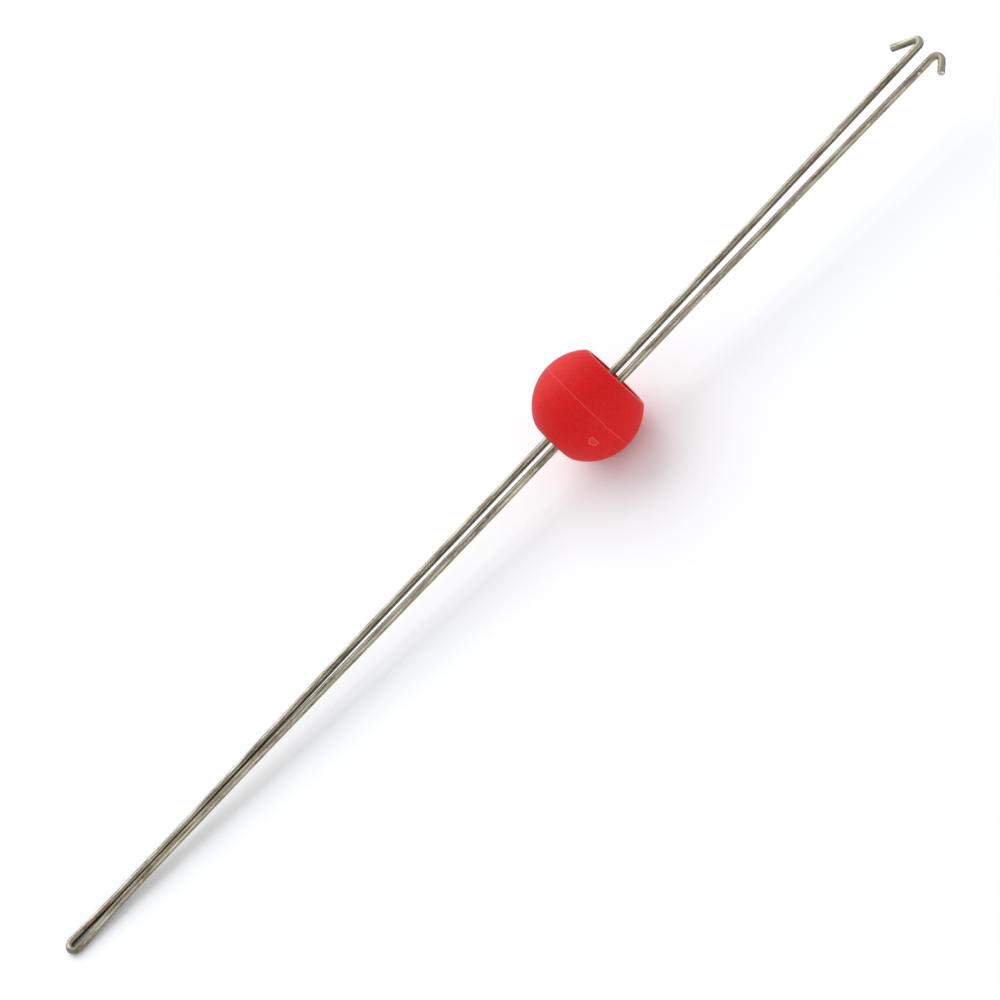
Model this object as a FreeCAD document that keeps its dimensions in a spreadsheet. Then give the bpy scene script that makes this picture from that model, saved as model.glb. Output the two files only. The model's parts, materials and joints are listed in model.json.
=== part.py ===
import FreeCAD, Part
import math
import os
import Sketcher
from FreeCAD import Placement, Rotation, Vector

# A hairpin of round spring wire with a hook on each free end, and a moulded bead that slides along it.
# Everything is drawn in the needle's own frame: +X from the closed bend to the hooks, the wire's
# centreline in the XY plane, the left leg on +Y. One placement then lays the needle down on a surface.

DIMENSIONS = {
    # the wire, and how far from the end of the bend the legs start to flex
    "wire_radius": 0.7,
    "flex_start": 23.0,
    "flex_gap": 0.01,
    # the closed bend: a round eye, closing to a throat where the legs nearly touch
    "eye_radius": 1.16,
    "throat_start": 14.5,
    "throat_radius": 40.0,
    # each leg: where its stations lie along the needle, and how far each one is from the middle line
    "left_throat": 0.77,
    "left_bow_start": 24.0,
    "left_bow_radius": 800.0,
    "left_mid_station": 80.0,
    "left_mid_offset": 1.32,
    "left_flare_station": 147.0,
    "left_flare_offset": 1.29,
    "left_root_offset": 1.98,
    "left_apex": 222.35,
    "left_hook_radius": 0.85,
    "left_tip_station": 217.8,
    "left_tip_offset": 6.33,
    "right_throat": 0.69,
    "right_bow_start": 38.0,
    "right_bow_radius": 1500.0,
    "right_mid_station": 100.0,
    "right_mid_offset": 1.32,
    "right_flare_station": 156.0,
    "right_flare_offset": 1.38,
    "right_root_offset": 2.37,
    "right_apex": 222.9,
    "right_hook_radius": 1.4,
    "right_tip_station": 220.8,
    "right_tip_offset": 6.72,
    "flare_radius": 1500.0,
    "tip_bevel": 0.12,
    # the bead: a ball cut off at both ends, with a cup open towards the hooks
    "bead_station": 134.7,
    "ball_radius": 10.0,
    "rim_station": 7.25,
    "end_station": 9.15,
    "end_blend_radius": 4.4,
    "hole_radius": 2.22,
    "mouth_radius": 6.15,
    "cup_floor_station": 2.8,
    "cup_floor_radius": 5.85,
    "rim_outer_round": 1.1,
    "rim_inner_round": 0.15,
    "hole_round": 0.3,
    "cup_floor_round": 0.6,
    # marks of the mould: the parting line round the equator, and the scar of the gate beside it
    "seam_height": 0.03,
    "seam_width": 0.3,
    "seam_root": 0.03,
    "gate_radius": 1.036,
    "gate_flat": 0.414,
    "gate_depth": 0.07,
    "gate_clear": 0.5,
    "gate_latitude": 19.9,
    "gate_azimuth": 76.7,
}

START, END, CENTRE = 1, 2, 3
ORIGIN = (-1, 1)
VERTICAL_AXIS = -2
CLOSE = 0.01
SOUND_SHARE = 0.01


def make_sheet(doc):
    """The spreadsheet that drives every sketch and feature."""
    sheet = doc.addObject("Spreadsheet::Sheet", "dimensions")
    for row, (alias, value) in enumerate(DIMENSIONS.items(), start=1):
        sheet.set(f"A{row}", alias.replace("_", " "))
        sheet.set(f"B{row}", str(value))
        sheet.setAlias(f"B{row}", alias)
    doc.recompute()
    return sheet


def size(alias):
    """A size as it stands in the sheet."""
    return float(FreeCAD.ActiveDocument.getObject("dimensions").get(alias))


def cell(expression):
    """The same expression with every alias written as a reference to the sheet."""
    words = expression.split(" ")
    return " ".join(f"dimensions.{word}" if word in DIMENSIONS else word for word in words)


def new_body(doc, label):
    body = doc.addObject("PartDesign::Body", label)
    body.Label = label
    return body


def new_sketch(body, name, role):
    """A sketch on one of the body's own origin planes."""
    plane = next(item for item in body.Origin.OriginFeatures if item.Role == role)
    sketch = body.newObject("Sketcher::SketchObject", name)
    sketch.AttachmentSupport = [(plane, "")]
    sketch.MapMode = "FlatFace"
    return sketch


def drive(sketch, kind, *where, expression):
    """Adds a dimension and binds it to the sheet."""
    index = sketch.addConstraint(Sketcher.Constraint(kind, *where, evaluate(expression)))
    sketch.setExpression(f"Constraints[{index}]", cell(expression))


def evaluate(expression):
    """The value of a sum of aliases and numbers, to place a sketch's geometry before it is solved."""
    total = 0.0
    sign = 1.0
    for word in expression.split(" "):
        if word in ("+", "-"):
            sign = -1.0 if word == "-" else 1.0
        elif word in DIMENSIONS:
            total += sign * size(word)
        else:
            total += sign * float(word)
    return total


def locate(sketch, geometry, end, x_expression, y_expression):
    """Dimensions one point of the sketch from the sketch's origin."""
    drive(sketch, "DistanceX", *ORIGIN, geometry, end, expression=x_expression)
    drive(sketch, "DistanceY", *ORIGIN, geometry, end, expression=y_expression)


def unit(vector):
    return vector / vector.Length


def bend_between(before, corner, after, radius):
    """The arc of this radius that rounds the corner: its centre, its two ends and the way it turns."""
    into = unit(corner - before)
    out = unit(after - corner)
    turn = math.atan2(into.cross(out).z, into.dot(out))
    run = radius * math.tan(abs(turn) / 2)
    start = corner - into * run
    side = Vector(-into.y, into.x, 0) * math.copysign(1, turn)
    return start + side * radius, start, corner + out * run, turn


def add_line(sketch, start, end):
    return sketch.addGeometry(Part.LineSegment(start, end), False)


def add_arc(sketch, centre, radius, start, end, turn):
    """An arc along the path from start to end: its index, and which of its ends come first and last."""
    first, last = (start, end) if turn > 0 else (end, start)
    angle_first = math.atan2(first.y - centre.y, first.x - centre.x)
    angle_last = math.atan2(last.y - centre.y, last.x - centre.x)
    circle = Part.Circle(centre, Vector(0, 0, 1), radius)
    index = sketch.addGeometry(Part.ArcOfCircle(circle, angle_first, angle_last), False)
    return (index, START, END) if turn > 0 else (index, END, START)


def join_smoothly(sketch, first, first_end, second, second_end):
    sketch.addConstraint(Sketcher.Constraint("Tangent", first, first_end, second, second_end))


def sweep_wire(body, path, start_station, start_offset, marks):
    """Sweeps the wire's round section along the path. The section stands square to X at the path's start.

    The path's sketch ends with this many marks, which only help to place its corners.
    """
    section = new_sketch(body, f"{body.Label}_section", "YZ_Plane")
    section.AttachmentOffset = Placement(Vector(0, 0, evaluate(start_station)), Rotation())
    section.setExpression("AttachmentOffset.Base.z", cell(start_station))
    centre = Vector(evaluate(start_offset), 0, 0)
    circle = section.addGeometry(Part.Circle(centre, Vector(0, 0, 1), size("wire_radius")), False)
    drive(section, "Radius", circle, expression="wire_radius")
    locate(section, circle, CENTRE, start_offset, "0")
    body.Document.recompute()
    edges = [f"Edge{number + 1}" for number in range(path.GeometryCount - marks)]
    pipe = body.newObject("PartDesign::AdditivePipe", f"{body.Label}_wire")
    pipe.Profile = section
    pipe.Spine = (path, edges)
    body.Document.recompute()
    check_sweep(pipe, path)
    return pipe


def check_sweep(pipe, path):
    """A sound sweep holds the section's area times the length of its path."""
    expected = math.pi * size("wire_radius") ** 2 * path.Shape.Length
    if abs(pipe.Shape.Volume - expected) > SOUND_SHARE * expected:
        raise ValueError(f"{pipe.Label}: volume {pipe.Shape.Volume:.2f}, expected {expected:.2f}")


def throat_points(eye_centre, offset):
    """Where the stub ends, the centre and the end of the throat's arc, and where its line meets the eye."""
    stub_end = Vector(size("throat_start"), offset, 0)
    arc_centre = stub_end + Vector(0, size("throat_radius"), 0)
    span = eye_centre - arc_centre
    radii = size("throat_radius") + size("eye_radius")
    direction = math.atan2(span.y, span.x) - math.asin(radii / span.Length)
    across = Vector(-math.sin(direction), math.cos(direction), 0)
    return (stub_end, arc_centre, arc_centre + across * size("throat_radius"),
            eye_centre - across * size("eye_radius"))


def make_bend(doc):
    """The closed end of the hairpin, as far as the throat where the legs lie side by side."""
    body = new_body(doc, "wire_bend")
    path = new_sketch(body, "bend_centreline", "XY_Plane")
    eye_centre = Vector(size("wire_radius") + size("eye_radius"), 0, 0)
    eye_radius = size("eye_radius")
    left = throat_points(eye_centre, size("left_throat"))
    right = [Vector(point.x, -point.y, 0) for point in throat_points(eye_centre, size("right_throat"))]
    stub_left = add_line(path, Vector(size("flex_start"), left[0].y, 0), left[0])
    bow_left = add_arc(path, left[1], size("throat_radius"), left[0], left[2], -1)
    run_left = add_line(path, left[2], left[3])
    eye = add_arc(path, eye_centre, eye_radius, left[3], right[3], 1)
    run_right = add_line(path, right[3], right[2])
    bow_right = add_arc(path, right[1], size("throat_radius"), right[2], right[0], -1)
    stub_right = add_line(path, right[0], Vector(size("flex_start"), right[0].y, 0))
    join_smoothly(path, stub_left, END, bow_left[0], bow_left[1])
    join_smoothly(path, bow_left[0], bow_left[2], run_left, START)
    join_smoothly(path, run_left, END, eye[0], eye[1])
    join_smoothly(path, eye[0], eye[2], run_right, START)
    join_smoothly(path, run_right, END, bow_right[0], bow_right[1])
    join_smoothly(path, bow_right[0], bow_right[2], stub_right, START)
    for stub in (stub_left, stub_right):
        path.addConstraint(Sketcher.Constraint("Horizontal", stub))
    for arc in (bow_left, bow_right):
        drive(path, "Radius", arc[0], expression="throat_radius")
    drive(path, "Radius", eye[0], expression="eye_radius")
    locate(path, eye[0], CENTRE, "wire_radius + eye_radius", "0")
    locate(path, stub_left, START, "flex_start", "left_throat")
    locate(path, stub_right, END, "flex_start", "0 - right_throat")
    drive(path, "DistanceX", *ORIGIN, stub_left, END, expression="throat_start")
    drive(path, "DistanceX", *ORIGIN, stub_right, START, expression="throat_start")
    sweep_wire(body, path, "flex_start", "left_throat", 0)
    return body


def make_leg(doc, name, side):
    """One leg of the hairpin: straight runs joined by gentle bows, a tight hook and its tip."""
    body = new_body(doc, f"{name}_leg")
    path = new_sketch(body, f"{name}_centreline", "XY_Plane")
    sign = "0 +" if side > 0 else "0 -"
    start = Vector(size("flex_start") + size("flex_gap"), side * size(f"{name}_throat"), 0)
    bow_start = Vector(size(f"{name}_bow_start"), start.y, 0)
    mid = Vector(size(f"{name}_mid_station"), side * size(f"{name}_mid_offset"), 0)
    flare = Vector(size(f"{name}_flare_station"), side * size(f"{name}_flare_offset"), 0)
    hook_radius = size(f"{name}_hook_radius")
    root = Vector(size(f"{name}_apex") - hook_radius, side * size(f"{name}_root_offset"), 0)
    tip = Vector(size(f"{name}_tip_station"), side * size(f"{name}_tip_offset"), 0)

    # the first bow leaves the stub and its line runs on to the middle station
    bow_radius = size(f"{name}_bow_radius")
    bow_centre = bow_start + Vector(0, side * bow_radius, 0)
    span = mid - bow_centre
    direction = math.atan2(span.y, span.x) + side * math.asin(bow_radius / span.Length)
    bow_end = bow_centre + Vector(math.sin(direction), -math.cos(direction), 0) * (side * bow_radius)
    mid_arc = bend_between(bow_end, mid, flare, size("flare_radius"))
    flare_arc = bend_between(mid, flare, root, size("flare_radius"))

    # the hook turns outwards from its root until it points at its tip
    into = unit(root - flare)
    hook_centre = root + Vector(-into.y, into.x, 0) * (side * hook_radius)
    span = tip - hook_centre
    direction = math.atan2(span.y, span.x) + side * math.asin(hook_radius / span.Length)
    hook_end = hook_centre + Vector(math.sin(direction), -math.cos(direction), 0) * (side * hook_radius)

    lines = [add_line(path, start, bow_start)]
    arcs = [add_arc(path, bow_centre, bow_radius, bow_start, bow_end, side)]
    lines.append(add_line(path, bow_end, mid_arc[1]))
    arcs.append(add_arc(path, mid_arc[0], size("flare_radius"), mid_arc[1], mid_arc[2], mid_arc[3]))
    lines.append(add_line(path, mid_arc[2], flare_arc[1]))
    arcs.append(add_arc(path, flare_arc[0], size("flare_radius"), flare_arc[1], flare_arc[2], flare_arc[3]))
    lines.append(add_line(path, flare_arc[2], root))
    arcs.append(add_arc(path, hook_centre, hook_radius, root, hook_end, side))
    lines.append(add_line(path, hook_end, tip))
    for number, arc in enumerate(arcs):
        join_smoothly(path, lines[number], END, arc[0], arc[1])
        join_smoothly(path, arc[0], arc[2], lines[number + 1], START)

    stations = [path.addGeometry(Part.Point(point), True) for point in (mid, flare)]
    for station, label in zip(stations, ("mid", "flare")):
        locate(path, station, START, f"{name}_{label}_station", f"{sign} {name}_{label}_offset")
    for station, first, second in ((stations[0], 1, 2), (stations[1], 2, 3)):
        path.addConstraint(Sketcher.Constraint("PointOnObject", station, START, lines[first]))
        path.addConstraint(Sketcher.Constraint("PointOnObject", station, START, lines[second]))
    path.addConstraint(Sketcher.Constraint("Horizontal", lines[0]))
    locate(path, lines[0], START, "flex_start + flex_gap", f"{sign} {name}_throat")
    drive(path, "DistanceX", *ORIGIN, lines[0], END, expression=f"{name}_bow_start")
    locate(path, lines[3], END, f"{name}_apex - {name}_hook_radius", f"{sign} {name}_root_offset")
    locate(path, lines[4], END, f"{name}_tip_station", f"{sign} {name}_tip_offset")
    radii = (f"{name}_bow_radius", "flare_radius", "flare_radius", f"{name}_hook_radius")
    for arc, radius in zip(arcs, radii):
        drive(path, "Radius", arc[0], expression=radius)
    pipe = sweep_wire(body, path, "flex_start + flex_gap", f"{sign} {name}_throat", len(stations))
    bevel_tip(body, pipe, tip)
    return body


def bevel_tip(body, pipe, tip):
    """The cut end of the wire has its sharp edge taken off."""
    rim = [f"Edge{number}" for number, edge in enumerate(pipe.Shape.Edges, start=1)
           if edge.CenterOfMass.distanceToPoint(tip) < CLOSE and edge.Length > size("wire_radius")]
    bevel = body.newObject("PartDesign::Chamfer", f"{body.Label}_tip_bevel")
    bevel.Base = (pipe, rim)
    bevel.Size = size("tip_bevel")
    bevel.setExpression("Size", cell("tip_bevel"))


def make_bead(doc):
    """The bead, turned about the needle's axis, with the marks that its mould left."""
    body = new_body(doc, "bead")
    profile = new_sketch(body, "bead_profile", "XY_Plane")
    profile.AttachmentOffset = Placement(Vector(size("bead_station"), 0, 0), Rotation())
    profile.setExpression("AttachmentOffset.Base.x", cell("bead_station"))
    ball = size("ball_radius")
    end, rim, floor = -size("end_station"), size("rim_station"), -size("cup_floor_station")
    blend = size("end_blend_radius")
    blend_x = end + blend
    blend_y = math.sqrt((ball - blend) ** 2 - blend_x ** 2)
    blend_centre = Vector(blend_x, blend_y, 0)
    meeting = unit(blend_centre) * ball
    rim_edge = Vector(rim, math.sqrt(ball ** 2 - rim ** 2), 0)
    flat_edge = Vector(end, blend_y, 0)
    hole_outside = Vector(end, size("hole_radius"), 0)
    hole_inside = Vector(floor, size("hole_radius"), 0)
    mouth = Vector(rim, size("mouth_radius"), 0)
    floor_edge = Vector(floor, size("cup_floor_radius"), 0)

    end_face = add_line(profile, hole_outside, flat_edge)
    end_blend = add_arc(profile, blend_centre, blend, flat_edge, meeting, -1)
    sphere = add_arc(profile, Vector(), ball, meeting, rim_edge, -1)
    rim_face = add_line(profile, rim_edge, mouth)
    cup_wall = add_line(profile, mouth, floor_edge)
    cup_floor = add_line(profile, floor_edge, hole_inside)
    hole_wall = add_line(profile, hole_inside, hole_outside)
    join_smoothly(profile, end_face, END, end_blend[0], end_blend[1])
    join_smoothly(profile, end_blend[0], end_blend[2], sphere[0], sphere[1])
    corners = ((sphere[0], sphere[2], rim_face, START), (rim_face, END, cup_wall, START),
               (cup_wall, END, cup_floor, START), (cup_floor, END, hole_wall, START),
               (hole_wall, END, end_face, START))
    for corner in corners:
        profile.addConstraint(Sketcher.Constraint("Coincident", *corner))
    profile.addConstraint(Sketcher.Constraint("Coincident", sphere[0], CENTRE, *ORIGIN))
    for line in (end_face, rim_face, cup_floor):
        profile.addConstraint(Sketcher.Constraint("Vertical", line))
    profile.addConstraint(Sketcher.Constraint("Horizontal", hole_wall))
    drive(profile, "Radius", sphere[0], expression="ball_radius")
    drive(profile, "Radius", end_blend[0], expression="end_blend_radius")
    locate(profile, end_face, START, "0 - end_station", "hole_radius")
    locate(profile, rim_face, END, "rim_station", "mouth_radius")
    locate(profile, cup_floor, START, "0 - cup_floor_station", "cup_floor_radius")
    doc.recompute()
    turned = body.newObject("PartDesign::Revolution", "bead_turned")
    turned.Profile = profile
    turned.ReferenceAxis = (profile, ["H_Axis"])
    turned.Angle = 360
    doc.recompute()

    def ring(radius, station):
        """The names of the circular edges of this radius at this place along the bead."""
        shape = body.Tip.Shape
        found = [f"Edge{number}" for number, edge in enumerate(shape.Edges, start=1)
                 if isinstance(edge.Curve, Part.Circle) and abs(edge.Curve.Radius - radius) < CLOSE
                 and abs(edge.Curve.Center.x - size("bead_station") - station) < CLOSE]
        if not found:
            raise ValueError(f"no edge of radius {radius} at {station}")
        return found

    rounds = (("rim_outer_round", rim_edge.y, rim),
              ("rim_inner_round", size("mouth_radius"), rim),
              ("hole_round", size("hole_radius"), end),
              ("cup_floor_round", size("cup_floor_radius"), floor))
    for alias, radius, station in rounds:
        base = (body.Tip, ring(radius, station))
        fillet = body.newObject("PartDesign::Fillet", alias)
        fillet.Base = base
        fillet.Radius = size(alias)
        fillet.setExpression("Radius", cell(alias))
        doc.recompute()
    add_seam(body)
    cut_gate_scar(body)
    return body


def add_seam(body):
    """The parting line: a low ridge round the ball's equator."""
    sketch = new_sketch(body, "seam_profile", "XY_Plane")
    sketch.AttachmentOffset = Placement(Vector(size("bead_station"), 0, 0), Rotation())
    sketch.setExpression("AttachmentOffset.Base.x", cell("bead_station"))
    ball = size("ball_radius")
    half = size("seam_width") / 2
    top = Vector(0, ball + size("seam_height"), 0)
    left = Vector(-half, ball - size("seam_root"), 0)
    right = Vector(half, ball - size("seam_root"), 0)
    lines = [add_line(sketch, left, right), add_line(sketch, right, top), add_line(sketch, top, left)]
    for number in range(3):
        following = lines[(number + 1) % 3]
        sketch.addConstraint(Sketcher.Constraint("Coincident", lines[number], END, following, START))
    locate(sketch, lines[1], END, "0", "ball_radius + seam_height")
    drive(sketch, "DistanceX", lines[0], START, lines[0], END, expression="seam_width")
    sketch.addConstraint(Sketcher.Constraint("Symmetric", lines[0], START, lines[0], END, VERTICAL_AXIS))
    drive(sketch, "DistanceY", *ORIGIN, lines[0], START, expression="ball_radius - seam_root")
    body.Document.recompute()
    seam = body.newObject("PartDesign::Revolution", "seam_ridge")
    seam.Profile = sketch
    seam.ReferenceAxis = (sketch, ["H_Axis"])
    seam.Angle = 360
    body.Document.recompute()


def cut_gate_scar(body):
    """The gate's scar: a shallow D-shaped flat on the half that faces the bend, close to the parting line.

    It is a disc cut off straight on the side of the parting line.
    """
    around = Rotation(Vector(1, 0, 0), size("gate_azimuth"))
    outward = around * Rotation(Vector(0, 1, 0), -size("gate_latitude"))
    normal = outward.multVec(Vector(0, 0, 1))
    above = size("ball_radius") + size("gate_clear")
    sketch = new_sketch(body, "gate_outline", "XY_Plane")
    sketch.AttachmentOffset = Placement(Vector(size("bead_station"), 0, 0) + normal * above, outward)
    radius = size("gate_radius")
    flat = size("gate_flat")
    half_chord = math.sqrt(radius ** 2 - flat ** 2)
    left, right = Vector(flat, half_chord, 0), Vector(flat, -half_chord, 0)
    chord = add_line(sketch, right, left)
    bow = sketch.addGeometry(Part.Arc(left, Vector(-radius, 0, 0), right), False)
    sketch.addConstraint(Sketcher.Constraint("Coincident", chord, END, bow, START))
    sketch.addConstraint(Sketcher.Constraint("Coincident", bow, END, chord, START))
    sketch.addConstraint(Sketcher.Constraint("Coincident", bow, CENTRE, *ORIGIN))
    sketch.addConstraint(Sketcher.Constraint("Vertical", chord))
    drive(sketch, "Radius", bow, expression="gate_radius")
    drive(sketch, "DistanceX", *ORIGIN, chord, END, expression="gate_flat")
    body.Document.recompute()
    before = body.Tip.Shape.Volume
    scar = body.newObject("PartDesign::Pocket", "gate_scar")
    scar.Profile = sketch
    scar.Length = size("gate_clear") + size("gate_depth")
    scar.setExpression("Length", cell("gate_clear + gate_depth"))
    body.Document.recompute()
    if scar.Shape.Volume >= before:
        raise ValueError("the gate's scar cut nothing")


def resting_place():
    """Lays the needle down: the ball and the outside of the bend touch the surface, the hooks are held up.

    The frame's origin is on that surface, under the middle of the needle's length.
    """
    wire, ball = size("wire_radius"), size("ball_radius")
    pitch = math.asin((ball - wire) / (size("bead_station") - wire))
    near_end = wire * math.cos(pitch) - wire
    far_end = max(size("left_apex"), size("right_apex")) * math.cos(pitch) + wire
    height = ball - size("bead_station") * math.sin(pitch)
    lying = Rotation(Vector(0, 1, 0), -math.degrees(pitch))
    return Placement(Vector(-(near_end + far_end) / 2, 0, height), lying)


def check_document(doc, bodies):
    doc.recompute()
    for item in doc.Objects:
        if "Invalid" in item.State or "Error" in item.State:
            raise ValueError(f"{item.Label} failed: {item.State}")
    for body in bodies:
        if body.Shape.isNull() or not body.Shape.isValid() or len(body.Shape.Solids) != 1:
            raise ValueError(f"{body.Label} isn't one sound solid")


doc = FreeCAD.newDocument("cable_needle")
make_sheet(doc)
bodies = [make_bend(doc), make_leg(doc, "left", 1), make_leg(doc, "right", -1), make_bead(doc)]
place = resting_place()
for body in bodies:
    body.Placement = place
check_document(doc, bodies)

os.makedirs("parts", exist_ok=True)
for body in bodies:
    body.Shape.exportStep(f"parts/{body.Label}.step")
    box = body.Shape.BoundBox
    print(f"{body.Label}: {body.Shape.Volume:.2f} mm3, x {box.XMin:.2f} to {box.XMax:.2f}, "
          f"y {box.YMin:.2f} to {box.YMax:.2f}, z {box.ZMin:.2f} to {box.ZMax:.2f}")
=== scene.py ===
import json
import math

import bpy
from mathutils import Matrix, Vector
from mathutils.kdtree import KDTree


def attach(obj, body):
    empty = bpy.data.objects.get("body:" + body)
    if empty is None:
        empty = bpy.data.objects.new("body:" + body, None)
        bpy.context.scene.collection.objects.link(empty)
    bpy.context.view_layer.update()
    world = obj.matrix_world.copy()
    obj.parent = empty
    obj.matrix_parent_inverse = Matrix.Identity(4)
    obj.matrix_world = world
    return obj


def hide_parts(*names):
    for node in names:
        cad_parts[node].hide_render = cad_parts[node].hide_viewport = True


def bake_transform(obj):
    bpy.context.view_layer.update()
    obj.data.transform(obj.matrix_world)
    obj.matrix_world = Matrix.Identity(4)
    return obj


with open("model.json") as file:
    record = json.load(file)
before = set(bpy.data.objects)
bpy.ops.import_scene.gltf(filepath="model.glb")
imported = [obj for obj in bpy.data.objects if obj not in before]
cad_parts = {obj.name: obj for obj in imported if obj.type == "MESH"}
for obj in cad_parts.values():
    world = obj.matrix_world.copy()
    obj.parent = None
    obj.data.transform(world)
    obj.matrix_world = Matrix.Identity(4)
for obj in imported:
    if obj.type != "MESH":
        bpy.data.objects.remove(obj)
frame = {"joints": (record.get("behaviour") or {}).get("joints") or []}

bpy.ops.object.select_all(action="DESELECT")
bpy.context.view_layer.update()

# ---- Where the needle lies, and the camera
# The needle rests on the ball and on the closed end of its wire, so it slopes up a little from that end.
# Places on it are given along it from the closed end, to its left, and above its middle plane.
joints = {joint["name"]: joint for joint in frame["joints"]}
left_hinge = joints["left_leg_flex"]
along = Vector(joints["bead_slide"]["axis"]).normalized()
upward = Vector(left_hinge["axis"]).normalized()
leftward = upward.cross(along)
hinge_station = 0.02301
hinge_offset = 0.00077
closed_end = Vector(left_hinge["pos_m"]) - along * hinge_station - leftward * hinge_offset


def on_needle(station, offset=0.0, height=0.0):
    return closed_end + along * station + leftward * offset + upward * height


bead_station = 0.1347
bead_middle = on_needle(bead_station)
# the camera stands this far round the needle towards its right leg, and this far towards the hooks
view_round = math.radians(43.0)
view_lean = math.radians(3.3)
view_distance = 3.0
# the view is this wide at the bead, and the needle rises this steeply across it
# the bead is this far right of the view's middle, and this far above it
view_width = 0.1779
needle_slope = math.radians(46.44)
bead_right_by = 0.0156
bead_above_by = 0.0168

towards_camera = upward * math.cos(view_round) - leftward * math.sin(view_round)
towards_camera = towards_camera * math.cos(view_lean) + along * math.sin(view_lean)
seen_along = (along - towards_camera * along.dot(towards_camera)).normalized()
seen_across = seen_along.cross(towards_camera)
frame_right = seen_along * math.cos(needle_slope) + seen_across * math.sin(needle_slope)
frame_up = seen_along * math.sin(needle_slope) - seen_across * math.cos(needle_slope)
aim = bead_middle - frame_right * bead_right_by - frame_up * bead_above_by

camera_data = bpy.data.cameras.new("camera")
camera_data.sensor_width = 36.0
camera_data.lens = camera_data.sensor_width * view_distance / view_width
camera_data.clip_end = 10.0
camera = bpy.data.objects.new("camera", camera_data)
bpy.context.scene.collection.objects.link(camera)
camera.matrix_world = Matrix.Translation(aim + towards_camera * view_distance) @ Matrix(
    (frame_right, frame_up, towards_camera)).transposed().to_4x4()
bpy.context.scene.camera = camera

# ---- The table and the light
# A pale table top in a bright, even room, which the steel mirrors. A large soft light stands on the left.
# A smaller one stands low on the right, so that each leg of the wire has a bright line along both its sides.
table_width = 3.0
table_tone = (0.92, 0.92, 0.92, 1.0)
room_tone = (0.93, 0.95, 1.0, 1.0)
room_strength = 0.78


def start_material(name):
    """A new material and its shader."""
    material = bpy.data.materials.new(name)
    material.use_nodes = True
    return material, material.node_tree.nodes["Principled BSDF"]


bpy.ops.mesh.primitive_plane_add(size=table_width)
table = bpy.context.object
table.name = "table_top"
table_white, table_shader = start_material("table_white")
table_shader.inputs["Base Color"].default_value = table_tone
table_shader.inputs["Roughness"].default_value = 0.7
table.data.materials.append(table_white)

room = bpy.data.worlds.new("room")
room.use_nodes = True
room.node_tree.nodes["Background"].inputs["Color"].default_value = room_tone
room.node_tree.nodes["Background"].inputs["Strength"].default_value = room_strength
bpy.context.scene.world = room
bpy.context.scene.view_settings.view_transform = "Standard"


def soft_light(name, place, width, watts, tint):
    """A square light that faces the needle."""
    light = bpy.data.lights.new(name, "AREA")
    light.shape = "SQUARE"
    light.size = width
    light.energy = watts
    light.color = tint
    lamp = bpy.data.objects.new(name, light)
    lamp.location = place
    lamp.rotation_euler = (aim - Vector(place)).to_track_quat("-Z", "Y").to_euler()
    bpy.context.scene.collection.objects.link(lamp)


soft_light("light_left", (0.0, 0.9, 0.75), 1.4, 11.0, (1.0, 0.99, 0.97))
soft_light("light_low_right", (0.05, -1.0, 0.18), 0.8, 2.5, (1.0, 0.98, 0.95))

# ---- The hairpin wire, left half
# One length of drawn spring steel, cold bent round a pin at its middle, so its two legs lie side by side.
# This half runs from the middle of the bend to the hook at the left leg's end, which is cut and deburred.
wire_radius = 0.0007
wire_sides = 48
wire_smooth = math.radians(30.0)
merge_distance = 1e-6
run_piece = 0.0025
bend_step = math.radians(4.0)
# the eye in the closed end, and the bend that lays each leg along the needle where the eye closes
bend_middle = on_needle(wire_radius)
eye_radius = 0.00116
eye_centre = on_needle(wire_radius + eye_radius)
throat_radius = 0.040
throat_station = 0.0145
# each leg runs straight from its bow to its middle, to its flare and to the root of its hook
slight_bend = 1.5
left_leg = {
    "throat": on_needle(throat_station, hinge_offset),
    "bow": on_needle(0.024, hinge_offset),
    "bow_radius": 0.8,
    "middle": on_needle(0.080, 0.00132),
    "flare": on_needle(0.147, 0.00129),
    "root": on_needle(0.2215, 0.00198),
    "hook_radius": 0.00085,
    "tip": on_needle(0.2178, 0.00633),
}
tip_bevel = 0.00012
tip_lip = 0.00014
tip_hollow = 0.00007
# painted shade: the side towards the other leg, and a little underneath, is painted darker, where the other
# leg shades it
left_shaded_side = (leftward * -1.0 - upward * 0.6).normalized()
hollow_brightness = 0.3
steel_pale = (0.40, 0.37, 0.27, 1.0)
steel_dark = (0.13, 0.10, 0.06, 1.0)
steel_rubbed = (0.60, 0.58, 0.52, 1.0)
# the painted shade between the legs
steel_gap_shade = (0.045, 0.034, 0.022, 1.0)
# bare cut metal; on the bevel and lip of each cut end it is also a painted highlight
steel_cut_and_highlight = (0.72, 0.66, 0.58, 1.0)
# how closely the drawn wire's pattern is packed, along the wire and across it
drawn_pattern = (170.0, 1500.0, 1500.0)


def add_disc(radius, place, rotation):
    """Adds a flat disc and opens it for shaping, all of it selected."""
    bpy.ops.mesh.primitive_circle_add(vertices=wire_sides, radius=radius, fill_type="NGON", location=place,
                                      rotation=rotation)
    bpy.ops.object.transform_apply(location=True, rotation=True, scale=True)
    bpy.ops.object.mode_set(mode="EDIT")
    bpy.ops.mesh.select_all(action="SELECT")
    return bpy.context.object


def start_stroke(piece, name, place, heading):
    """Starts a stroke at one point. It heads this way until it is turned."""
    piece.name = name
    return {"piece": piece, "place": place, "heading": heading, "run": 0.0, "path": [(place, heading, 0.0)]}


def move_on(stroke, place, heading, length):
    """Takes the stroke's end to a new place, and keeps a note of where it has been."""
    stroke["place"], stroke["heading"] = place, heading
    stroke["run"] += length
    stroke["path"].append((place, heading, stroke["run"]))


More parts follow.
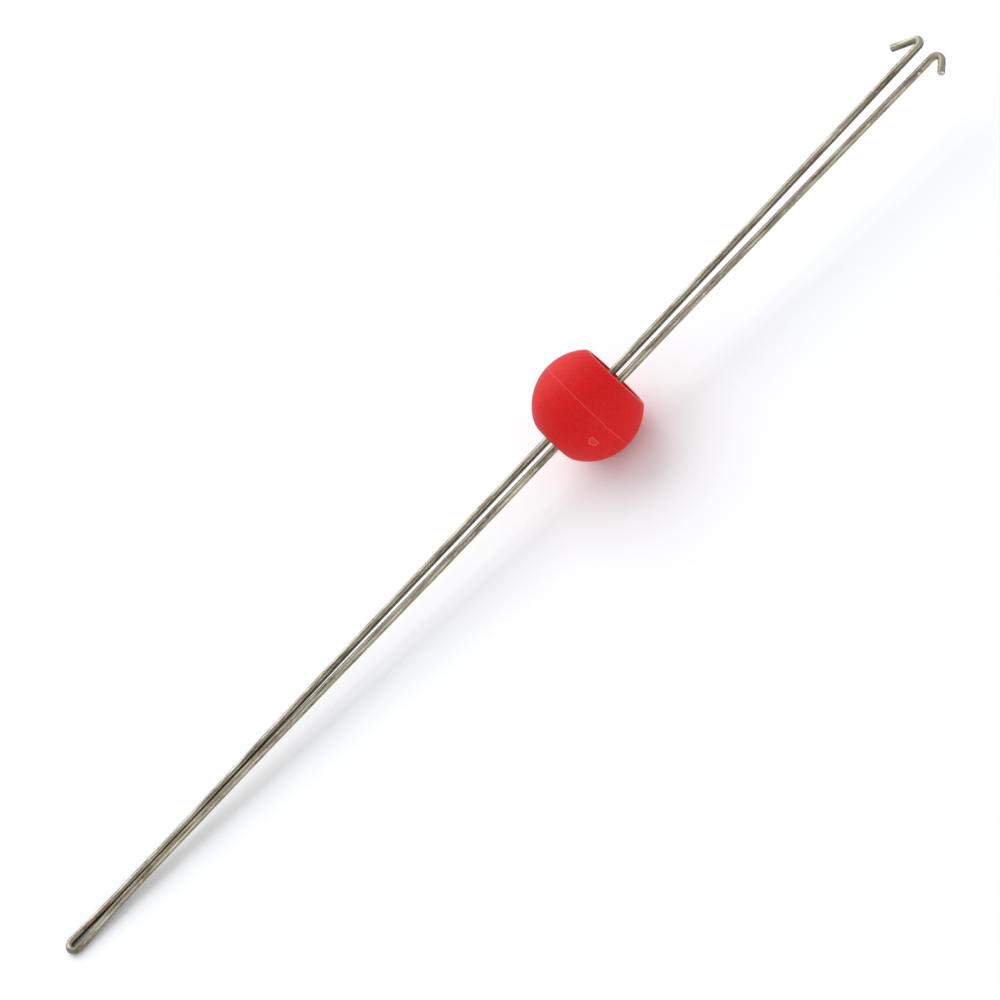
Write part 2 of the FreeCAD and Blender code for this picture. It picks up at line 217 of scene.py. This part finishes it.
def go(stroke, length):
    """Draws what is selected out along the stroke's heading, in even pieces."""
    pieces = max(1, round(length / run_piece))
    step = stroke["heading"] * (length / pieces)
    for _ in range(pieces):
        bpy.ops.mesh.extrude_region_move(TRANSFORM_OT_translate={"value": step})
        move_on(stroke, stroke["place"] + step, stroke["heading"], length / pieces)


def turn(stroke, radius, angle, most):
    """Draws what is selected round a bend in the needle's middle plane, in steps of at most this angle."""
    side = upward.cross(stroke["heading"]) * math.copysign(1.0, angle)
    centre = stroke["place"] + side * radius
    steps = max(1, math.ceil(abs(angle) / most))
    # spin counts its angle the other way round
    bpy.ops.mesh.spin(steps=steps, angle=-angle, center=centre, axis=upward)
    about = Matrix.Rotation(angle / steps, 3, upward)
    for _ in range(steps):
        place = centre + about @ (stroke["place"] - centre)
        move_on(stroke, place, (about @ stroke["heading"]).normalized(), radius * abs(angle) / steps)


def bend(stroke, radius, angle):
    """Bends the wire, leftwards where the angle is positive."""
    turn(stroke, radius, angle, min(bend_step, run_piece / radius))


def angle_to(stroke, way):
    """How far the stroke has to turn to head this way."""
    return math.atan2(upward.dot(stroke["heading"].cross(way)), stroke["heading"].dot(way))


def bend_towards(stroke, radius, side, target):
    """Bends the wire to one side, until it points at the target."""
    span = target - stroke["place"] - upward.cross(stroke["heading"]) * (side * radius)
    bend(stroke, radius, angle_to(stroke, span) + side * math.asin(radius / span.length))


def bend_at(stroke, corner, target):
    """Takes the wire on to a corner, and bends it slightly there, so that it points at the target."""
    angle = angle_to(stroke, target - corner)
    go(stroke, (corner - stroke["place"]).length - slight_bend * math.tan(abs(angle) / 2.0))
    bend(stroke, slight_bend, angle)


def bend_wire(name, side, leg):
    """Draws half of the wire, from the middle of the bend to the tip. The side is 1 if left, -1 if right."""
    outward = leftward * side
    disc = add_disc(wire_radius, bend_middle, outward.to_track_quat("Z", "Y").to_euler())
    stroke = start_stroke(disc, name, bend_middle, outward)
    # the straight run between the eye and the throat touches both of their circles
    span = leg["throat"] + outward * throat_radius - eye_centre
    both_radii = eye_radius + throat_radius
    lean = math.asin(both_radii / span.length) - math.atan2(span.dot(outward), span.dot(along))
    bend(stroke, eye_radius, -side * (math.pi / 2.0 + lean))
    go(stroke, math.sqrt(span.length_squared - both_radii ** 2))
    bend(stroke, throat_radius, side * lean)
    go(stroke, (leg["bow"] - stroke["place"]).length)
    bend_towards(stroke, leg["bow_radius"], side, leg["middle"])
    bend_at(stroke, leg["middle"], leg["flare"])
    bend_at(stroke, leg["flare"], leg["root"])
    go(stroke, (leg["root"] - stroke["place"]).length)
    bend_towards(stroke, leg["hook_radius"], side, leg["tip"])
    go(stroke, (leg["tip"] - stroke["place"]).length - tip_bevel)
    return stroke


def cut_wire(stroke):
    """Finishes the cut end: a narrow bevel round it, and a face left a little hollow by the cutters."""
    heading = stroke["heading"]
    bpy.ops.mesh.extrude_region_move(TRANSFORM_OT_translate={"value": heading * tip_bevel})
    share = 1.0 - tip_bevel / wire_radius
    bpy.ops.transform.resize(value=(share, share, share),
                             center_override=stroke["place"] + heading * tip_bevel)
    bpy.ops.mesh.inset(thickness=tip_lip)
    bpy.ops.transform.translate(value=heading * -tip_hollow)
    bpy.ops.object.mode_set(mode="OBJECT")


def finish_piece(smooth_angle):
    """Closes the piece in hand, turns its faces outwards, and smooths its edges up to this angle."""
    bpy.ops.object.mode_set(mode="EDIT")
    bpy.ops.mesh.select_all(action="SELECT")
    bpy.ops.mesh.remove_doubles(threshold=merge_distance)
    bpy.ops.mesh.normals_make_consistent(inside=False)
    bpy.ops.object.mode_set(mode="OBJECT")
    bpy.ops.object.shade_smooth_by_angle(angle=smooth_angle)


def mark_unbent(piece, path, side, shaded_side):
    """Gives each vertex its place on the wire before it was bent: along it, out from the other leg, and up.

    It also stores how much the vertex looks towards the side where this leg is painted with shade from the
    other leg.
    """
    nearest = KDTree(len(path))
    for index, (place, _, _) in enumerate(path):
        nearest.insert(place, index)
    nearest.balance()
    piece.data.attributes.new("unbent", "FLOAT_VECTOR", "POINT")
    piece.data.attributes.new("gap_shade", "FLOAT", "POINT")
    unbent, gap_shade = piece.data.attributes["unbent"], piece.data.attributes["gap_shade"]
    for vertex in piece.data.vertices:
        place, heading, run = path[nearest.find(vertex.co)[1]]
        offset = vertex.co - place
        outward = side * offset.dot(upward.cross(heading))
        unbent.data[vertex.index].vector = (run + offset.dot(heading), outward, offset.dot(upward))
        gap_shade.data[vertex.index].value = offset.dot(shaded_side) / wire_radius


def mark_faces(piece, name, amount):
    """Gives each face its amount of a finish, worked out from the face's middle."""
    marks = piece.data.attributes.new(name, "FLOAT", "FACE")
    for face in piece.data.polygons:
        marks.data[face.index].value = amount(face.center)


def cut_and_highlight(stroke, middle):
    """How much of the cut end's colour goes here: fully on the bevel and the lip, less in the hollow. It is
    the cutters' bare metal, with a painted highlight on the bevel and the lip.
    """
    offset = middle - stroke["place"]
    ahead = offset.dot(stroke["heading"])
    if offset.length > 2.0 * wire_radius or ahead < 0.1 * tip_bevel:
        return 0.0
    off_centre = (offset - stroke["heading"] * ahead).length
    return hollow_brightness if off_centre < 0.5 * wire_radius else 1.0


left_stroke = bend_wire("wire_left_half", 1.0, left_leg)
cut_wire(left_stroke)
left_half = left_stroke["piece"]
finish_piece(wire_smooth)
mark_unbent(left_half, left_stroke["path"], 1.0, left_shaded_side)
mark_faces(left_half, "cut_and_highlight", lambda middle: cut_and_highlight(left_stroke, middle))


def new_node(tree, kind, feeds=(), **settings):
    """Adds a node. Each feed is an input's name or number, and the value or the output that goes in there."""
    node = tree.nodes.new(kind)
    for setting, value in settings.items():
        setattr(node, setting, value)
    for socket, feed in feeds:
        if isinstance(feed, bpy.types.NodeSocket):
            tree.links.new(feed, node.inputs[socket])
        else:
            node.inputs[socket].default_value = feed
    return node


def mixed(tree, share, first, second):
    """The colour this share of the way from the first colour to the second."""
    feeds = ((0, share), (6, first), (7, second))
    return new_node(tree, "ShaderNodeMix", feeds, data_type="RGBA").outputs[2]


def ranged(tree, value, low, high, to_low, to_high):
    """Carries a value's range over to another one, and stops it there."""
    feeds = (("Value", value), ("From Min", low), ("From Max", high), ("To Min", to_low), ("To Max", to_high))
    return new_node(tree, "ShaderNodeMapRange", feeds).outputs["Result"]


def stored(tree, name, output="Fac"):
    """What the mesh holds under this name."""
    return new_node(tree, "ShaderNodeAttribute", attribute_name=name).outputs[output]


def raise_grain(tree, shader, height, strength, depth):
    """Lifts the surface by its grain, by up to this depth."""
    feeds = (("Height", height), ("Strength", strength), ("Distance", depth))
    relief = new_node(tree, "ShaderNodeBump", feeds)
    tree.links.new(relief.outputs["Normal"], shader.inputs["Normal"])


# wear shared by the steel and the plastic: soft patches, and a much finer grain
worn_grain = bpy.data.node_groups.new("worn_grain", "ShaderNodeTree")
worn_grain.interface.new_socket(name="Place", in_out="INPUT", socket_type="NodeSocketVector")
worn_grain.interface.new_socket(name="Patches", in_out="OUTPUT", socket_type="NodeSocketFloat")
worn_grain.interface.new_socket(name="Grain", in_out="OUTPUT", socket_type="NodeSocketFloat")
wear_place = new_node(worn_grain, "NodeGroupInput").outputs["Place"]
wear_output = new_node(worn_grain, "NodeGroupOutput")
for output, scale, detail, low, high in (("Patches", 1.0, 4.0, 0.36, 0.66), ("Grain", 6.0, 3.0, 0.3, 0.7)):
    noise_feeds = (("Vector", wear_place), ("Scale", scale), ("Detail", detail))
    noise = new_node(worn_grain, "ShaderNodeTexNoise", noise_feeds).outputs["Fac"]
    worn_grain.links.new(ranged(worn_grain, noise, low, high, 0.0, 1.0), wear_output.inputs[output])


def add_wear(tree, place, pattern):
    """Puts the shared wear in a material, packed this closely, and gives its patches and its grain."""
    feeds = ((0, place), (1, pattern))
    packed = new_node(tree, "ShaderNodeVectorMath", feeds, operation="MULTIPLY").outputs["Vector"]
    wear = new_node(tree, "ShaderNodeGroup", node_tree=worn_grain)
    tree.links.new(packed, wear.inputs["Place"])
    return wear.outputs["Patches"], wear.outputs["Grain"]


spring_steel, steel_shader = start_material("spring_steel")
steel = spring_steel.node_tree
unbent_place = stored(steel, "unbent", "Vector")
steel_patches, steel_grain = add_wear(steel, unbent_place, drawn_pattern)
steel_tone = mixed(steel, steel_patches, steel_pale, steel_dark)
rubbed_share = ranged(steel, steel_grain, 0.5, 1.0, 0.0, 0.55)
steel_tone = mixed(steel, rubbed_share, steel_tone, steel_rubbed)
# painted shade: the sides that face each other are painted darker, most of all near the bend, where the legs
# lie closest
unbent_run = new_node(steel, "ShaderNodeSeparateXYZ", ((0, unbent_place),)).outputs["X"]
between_legs = ranged(steel, stored(steel, "gap_shade"), 0.35, 0.98, 0.0, 1.0)
near_bend = ranged(steel, unbent_run, 0.03, 0.12, 0.97, 0.75)
gap_shade_feeds = ((0, between_legs), (1, near_bend))
gap_shade_share = new_node(steel, "ShaderNodeMath", gap_shade_feeds, operation="MULTIPLY").outputs[0]
steel_tone = mixed(steel, gap_shade_share, steel_tone, steel_gap_shade)
steel_tone = mixed(steel, stored(steel, "cut_and_highlight"), steel_tone, steel_cut_and_highlight)
steel.links.new(steel_tone, steel_shader.inputs["Base Color"])
steel.links.new(ranged(steel, steel_grain, 0.0, 1.0, 0.38, 0.24), steel_shader.inputs["Roughness"])
raise_grain(steel, steel_shader, steel_grain, 0.3, 0.00002)
steel_shader.inputs["Metallic"].default_value = 1.0
left_half.data.materials.append(spring_steel)
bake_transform(left_half)
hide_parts("wire_bend", "left_leg")

# ---- The hairpin wire, right half
# The other half of the same wire. This leg bows a little less, and its hook is rounder, with a shorter arm.
# The two halves meet face to face at the middle of the bend, where the real wire runs on.
right_throat = -0.00069
right_leg = {
    "throat": on_needle(throat_station, right_throat),
    "bow": on_needle(0.038, right_throat),
    "bow_radius": 1.5,
    "middle": on_needle(0.100, -0.00132),
    "flare": on_needle(0.156, -0.00138),
    "root": on_needle(0.2215, -0.00237),
    "hook_radius": 0.0014,
    "tip": on_needle(0.2208, -0.00672),
}
# painted shade on this leg falls on the side towards the other leg, and a little above it
right_shaded_side = (leftward + upward).normalized()
# a small nick on the outside of the leg, just before its hook
nick_radius = 0.00035
nick_depth = 0.00012
nick_side = (towards_camera * 0.55 - leftward).normalized()
nick_place = on_needle(0.2181, -0.00229) + nick_side * (wire_radius + nick_radius - nick_depth)


def cut_away(piece, cutter):
    """Takes the cutter's shape out of the piece, and the cutter away."""
    bpy.ops.object.select_all(action="DESELECT")
    bpy.context.view_layer.objects.active = piece
    piece.select_set(True)
    bpy.ops.object.modifier_add(type="BOOLEAN")
    cut = piece.modifiers[-1]
    cut.object = cutter
    cut.operation = "DIFFERENCE"
    bpy.ops.object.modifier_apply(modifier=cut.name)
    bpy.data.objects.remove(cutter)


def right_brightness(middle):
    """How bright the right half is here: fully in the nick, and at its cut end as on the left half."""
    in_nick = (middle - nick_place).length < 1.02 * nick_radius
    return 1.0 if in_nick else cut_and_highlight(right_stroke, middle)


right_stroke = bend_wire("wire_right_half", -1.0, right_leg)
cut_wire(right_stroke)
right_half = right_stroke["piece"]
bpy.ops.mesh.primitive_ico_sphere_add(subdivisions=3, radius=nick_radius, location=nick_place)
cut_away(right_half, bpy.context.object)
finish_piece(wire_smooth)
mark_unbent(right_half, right_stroke["path"], -1.0, right_shaded_side)
mark_faces(right_half, "cut_and_highlight", right_brightness)
right_half.data.materials.append(spring_steel)
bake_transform(right_half)
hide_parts("wire_bend", "right_leg")

# ---- The bead
# One moulding of red plastic: a ball cut off at both ends. The end towards the hooks is a deep cup with a
# thin rim. The other end is a small flat with the hole that both legs run through.
ball_radius = 0.010
ball_step = math.radians(1.5)
round_step = math.radians(15.0)
ring_steps = 192
bead_smooth = math.radians(40.0)
# the small flat, the round that joins it to the ball, and the hole in it
end_station = -0.00915
end_round = 0.0044
hole_radius = 0.00222
hole_round = 0.0003
# the cup's rim, mouth and floor
rim_station = 0.00725
rim_outer_round = 0.0011
rim_inner_round = 0.00015
mouth_radius = 0.00615
cup_floor_station = -0.0028
cup_floor_radius = 0.00585
cup_floor_round = 0.0006
# the mould's parting line stands out a little, and steps sideways at one place round the bead
seam_height = 0.00004
seam_half_width = 0.00009
seam_step_place = math.radians(73.7)
seam_step_half = math.radians(1.5)
seam_step = 0.00016
seam_step_reach = 0.0014
# the gate's scar: how far it is round the bead and from the parting line, its size, and its sunk floor
gate_place = math.radians(76.7)
gate_latitude = math.radians(19.9)
gate_radius = 0.001036
gate_flat = 0.000414
gate_depth = 0.00007
gate_clear = 0.0005
gate_rim = 0.00016
gate_sink = 0.00002
# how pale the plastic is painted: a painted highlight along the parting line's ridge, on the rim's edge
# (there also wear) and on the scar's rim, and the scar's own paler floor
seam_highlight = 0.3
rim_edge_band = 0.0001
rim_highlight_and_wear = 0.8
gate_rim_highlight = 0.65
gate_floor_pale = 0.15
plastic_deep = (0.61, 0.0012, 0.0018, 1.0)
plastic_light = (0.67, 0.003, 0.004, 1.0)
plastic_speck = (0.80, 0.12, 0.12, 1.0)
plastic_pale_and_highlight = (0.85, 0.30, 0.28, 1.0)
sparked_pattern = (1600.0, 1600.0, 1600.0)

# how far each curve of the outline turns, and how long its straight runs are
seam_angle = math.asin(seam_half_width / ball_radius)
flat_back = -end_station - end_round
flat_radius = math.sqrt((ball_radius - end_round) ** 2 - flat_back ** 2)
end_angle = math.atan2(flat_radius, flat_back)
rim_angle = math.asin((rim_station - rim_outer_round) / (ball_radius - rim_outer_round))
rim_outer_edge = (ball_radius - rim_outer_round) * math.cos(rim_angle)
cup_depth = rim_station - cup_floor_station
cup_corner = math.pi / 2.0 - math.atan2(mouth_radius - cup_floor_radius, cup_depth)
cup_wall = math.hypot(mouth_radius - cup_floor_radius, cup_depth)
rim_inner_run = rim_inner_round * math.tan(cup_corner / 2.0)
floor_run = cup_floor_round * math.tan(cup_corner / 2.0)


def step_to(stroke, station, radius):
    """Draws the bead's outline straight to a place, given along it from its middle and out from its axis."""
    place = bead_middle + along * station + leftward * radius
    bpy.ops.mesh.extrude_region_move(TRANSFORM_OT_translate={"value": place - stroke["place"]})
    stroke["heading"] = (place - stroke["place"]).normalized()
    stroke["place"] = place


# the outline starts in the hole, goes over the outside to the rim, and comes back through the cup
outline_start = bead_middle + along * (end_station + hole_round) + leftward * hole_radius
bpy.ops.mesh.primitive_plane_add(size=wire_radius, location=outline_start)
bpy.ops.object.transform_apply(location=True, rotation=True, scale=True)
bpy.ops.object.mode_set(mode="EDIT")
bpy.ops.mesh.select_all(action="SELECT")
bpy.ops.mesh.merge(type="CENTER")
bead_stroke = start_stroke(bpy.context.object, "bead_moulding", outline_start, -along)
turn(bead_stroke, hole_round, -math.pi / 2.0, round_step)
step_to(bead_stroke, end_station, flat_radius)
turn(bead_stroke, end_round, -end_angle, round_step)
turn(bead_stroke, ball_radius, end_angle + seam_angle - math.pi / 2.0, ball_step)
step_to(bead_stroke, 0.0, ball_radius + seam_height)
step_to(bead_stroke, seam_half_width, ball_radius * math.cos(seam_angle))
bead_stroke["heading"] = along * math.cos(seam_angle) - leftward * math.sin(seam_angle)
turn(bead_stroke, ball_radius, seam_angle - rim_angle, ball_step)
turn(bead_stroke, rim_outer_round, rim_angle - math.pi / 2.0, round_step)
go(bead_stroke, rim_outer_edge - mouth_radius - rim_inner_run)
turn(bead_stroke, rim_inner_round, -cup_corner, round_step)
go(bead_stroke, cup_wall - rim_inner_run - floor_run)
turn(bead_stroke, cup_floor_round, cup_corner, round_step)
step_to(bead_stroke, cup_floor_station, hole_radius)
step_to(bead_stroke, end_station + hole_round, hole_radius)

# then it is turned once round the needle's axis
bpy.ops.mesh.select_all(action="SELECT")
bpy.ops.mesh.spin(steps=ring_steps, angle=2.0 * math.pi, center=bead_middle, axis=along)
bpy.ops.object.mode_set(mode="OBJECT")
bead = bead_stroke["piece"]
finish_piece(bead_smooth)

# the parting line is pushed sideways where it steps
bpy.ops.object.mode_set(mode="EDIT")
bpy.ops.mesh.select_all(action="DESELECT")
bpy.ops.object.mode_set(mode="OBJECT")
for vertex in bead.data.vertices:
    place = vertex.co - bead_middle
    on_line = place.length > 0.95 * ball_radius and abs(place.dot(along)) < 1.1 * seam_half_width
    round_bead = math.atan2(-place.dot(leftward), place.dot(upward))
    vertex.select = on_line and abs(round_bead - seam_step_place) < seam_step_half
bpy.ops.object.mode_set(mode="EDIT")
bpy.ops.transform.translate(value=along * -seam_step, use_proportional_edit=True,
                            proportional_edit_falloff="SHARP", proportional_size=seam_step_reach)
bpy.ops.mesh.select_all(action="DESELECT")
bpy.ops.object.mode_set(mode="OBJECT")

# the gate's scar: a shallow pocket with a D-shaped outline, its straight side towards the parting line
gate_way = upward * math.cos(gate_place) - leftward * math.sin(gate_place)
gate_way = gate_way * math.cos(gate_latitude) - along * math.sin(gate_latitude)
gate_ahead = (along - gate_way * along.dot(gate_way)).normalized()
gate_top = bead_middle + gate_way * (ball_radius + gate_clear)
gate_turn = Matrix((gate_ahead, gate_way.cross(gate_ahead), gate_way)).transposed().to_euler()
gate_cutter = add_disc(gate_radius, gate_top, gate_turn)
bpy.ops.mesh.bisect(plane_co=gate_top + gate_ahead * gate_flat, plane_no=gate_ahead, clear_outer=True)
bpy.ops.mesh.select_all(action="SELECT")
bpy.ops.mesh.extrude_region_move(TRANSFORM_OT_translate={"value": gate_way * -(gate_clear + gate_depth)})
bpy.ops.mesh.select_all(action="SELECT")
bpy.ops.mesh.normals_make_consistent(inside=False)
bpy.ops.object.mode_set(mode="OBJECT")
cut_away(bead, gate_cutter)

# its floor is sunk a little more inside a narrow rim
bpy.ops.object.mode_set(mode="EDIT")
bpy.ops.mesh.select_all(action="DESELECT")
bpy.ops.mesh.select_mode(type="FACE")
bpy.ops.object.mode_set(mode="OBJECT")
for face in bead.data.polygons:
    from_floor = face.center - bead_middle - gate_way * (ball_radius - gate_depth)
    face.select = from_floor.length < gate_radius and abs(from_floor.dot(gate_way)) < 0.1 * gate_depth
bpy.ops.object.mode_set(mode="EDIT")
bpy.ops.mesh.inset(thickness=gate_rim)
bpy.ops.transform.translate(value=gate_way * -gate_sink)
bpy.ops.mesh.select_mode(type="VERT")
bpy.ops.object.mode_set(mode="OBJECT")
finish_piece(bead_smooth)


def marks_and_highlights(middle):
    """How pale the plastic is painted here: a painted highlight on the parting line and on the scar's rim, a
    painted highlight with wear on the rim's edge, and the scar's own paler floor.
    """
    place = middle - bead_middle
    station = place.dot(along)
    if abs(station) < 4.0 * seam_half_width and place.length > ball_radius + 0.3 * seam_height:
        return seam_highlight
    if station > rim_station - rim_edge_band:
        return rim_highlight_and_wear
    from_gate = (place - gate_way * place.dot(gate_way)).length
    depth = ball_radius - place.dot(gate_way)
    if from_gate < gate_radius and 0.9 * gate_depth < depth < 2.0 * gate_depth:
        return gate_floor_pale if depth > gate_depth + 0.75 * gate_sink else gate_rim_highlight
    return 0.0


mark_faces(bead, "marks_and_highlights", marks_and_highlights)

red_plastic, plastic_shader = start_material("red_plastic")
plastic = red_plastic.node_tree
plastic_place = new_node(plastic, "ShaderNodeTexCoord").outputs["Object"]
plastic_patches, plastic_grain = add_wear(plastic, plastic_place, sparked_pattern)
plastic_tone = mixed(plastic, plastic_patches, plastic_deep, plastic_light)
speck_share = ranged(plastic, plastic_grain, 0.62, 1.0, 0.0, 0.22)
plastic_tone = mixed(plastic, speck_share, plastic_tone, plastic_speck)
# painted highlights on the parting line, the rim's edge and the scar's rim, besides the rim's wear and the
# scar's paler floor
pale_and_highlight_share = ranged(plastic, stored(plastic, "marks_and_highlights"), 0.0, 1.0, 0.0, 0.5)
plastic_tone = mixed(plastic, pale_and_highlight_share, plastic_tone, plastic_pale_and_highlight)
plastic.links.new(plastic_tone, plastic_shader.inputs["Base Color"])
plastic.links.new(ranged(plastic, plastic_grain, 0.0, 1.0, 0.62, 0.48), plastic_shader.inputs["Roughness"])
raise_grain(plastic, plastic_shader, plastic_grain, 0.35, 0.00003)
plastic_shader.inputs["Specular IOR Level"].default_value = 0.2
bead.data.materials.append(red_plastic)
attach(bead, "bead")
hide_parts("bead")
